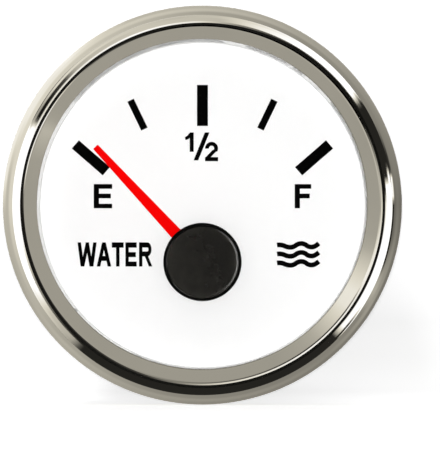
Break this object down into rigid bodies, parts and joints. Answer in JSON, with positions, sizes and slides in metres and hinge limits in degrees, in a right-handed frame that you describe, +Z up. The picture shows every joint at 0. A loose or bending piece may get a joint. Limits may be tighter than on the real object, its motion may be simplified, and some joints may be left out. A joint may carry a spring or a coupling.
{
  "type": "water tank gauge",
  "caption": "Round panel gauge for a water tank: steel bezel, white dial, red pointer on a geared stepper movement, black barrel case with lock ring and plug socket.",
  "frame": {"origin": "centre of the face of the bezel gasket that lies on the panel, on the barrel's axis", "axes": "+Y from the dial to the back along the barrel, so the dial faces -Y; +Z up through the half mark; +X to the full side"},
  "size_m": [0.062, 0.0488, 0.062],
  "materials": {
    "polished_steel": "polished",
    "window_glass": "clear",
    "seal_rubber": "matte",
    "pale_plastic": "smooth",
    "dial_white": "matte",
    "mark_black": "matte",
    "pointer_red": "satin",
    "cap_black": "satin",
    "case_black": "fine texture",
    "ring_black": "satin",
    "shaft_steel": "ground",
    "screw_steel": "bright zinc",
    "gear_plastic": "smooth",
    "magnet_grey": "sintered",
    "soft_iron": "stamped",
    "bobbin_black": "smooth",
    "copper_wire": "enamelled",
    "movement_black": "fine texture",
    "light_box_white": "matte",
    "lamp_yellow": "smooth",
    "board_green": "lacquered",
    "chip_black": "matte",
    "can_aluminium": "smooth",
    "contact_brass": "tinned"
  },
  "bodies": {
    "housing": {"bezel": "polished_steel", "lens": "window_glass", "bezel_gasket": "seal_rubber", "lens_seal": "seal_rubber", "cover_seal": "seal_rubber", "dial_spacer": "pale_plastic", "dial": "dial_white", "dial_marks": "mark_black", "case": "case_black", "rear_cover": "case_black", "lock_ring": "ring_black", "idler_arbor": "shaft_steel", "rotor_arbor": "shaft_steel", "board_screws": "screw_steel", "cover_screws": "screw_steel", "stator": "soft_iron", "left_bobbin": "bobbin_black", "right_bobbin": "bobbin_black", "left_winding": "copper_wire", "right_winding": "copper_wire", "movement_base": "movement_black", "movement_lid": "movement_black", "light_box": "light_box_white", "lamps": "lamp_yellow", "circuit_board": "board_green", "microcontroller": "chip_black", "regulator": "chip_black", "capacitor": "can_aluminium", "movement_pins": "contact_brass", "connector_pins": "contact_brass"},
    "motor_rotor": {"rotor_pinion": "gear_plastic", "rotor_magnet": "magnet_grey"},
    "idler": {"idler_wheel": "gear_plastic"},
    "indicator": {"pointer": "pointer_red", "pointer_cap": "cap_black", "spindle": "shaft_steel", "output_wheel": "gear_plastic"}
  },
  "joints": [
    {"name": "rotor_spin", "type": "hinge", "parent": "housing", "child": "motor_rotor", "pos_m": [0, 0, 0.00915], "axis": [0, -1, 0], "range_deg": [-2297, 152]},
    {"name": "idler_turn", "type": "hinge", "parent": "housing", "child": "idler", "pos_m": [0, 0, 0.00015], "axis": [0, -1, 0], "range_deg": [-30.5, 459.5]},
    {"name": "pointer_turn", "type": "hinge", "parent": "housing", "child": "indicator", "pos_m": [0, 0, -0.00885], "axis": [0, -1, 0], "range_deg": [-91.9, 6.1]}
  ],
  "couplings": [
    {"joint": "idler_turn", "follows": "rotor_spin", "ratio": -0.2},
    {"joint": "pointer_turn", "follows": "rotor_spin", "ratio": 0.04}
  ]
}
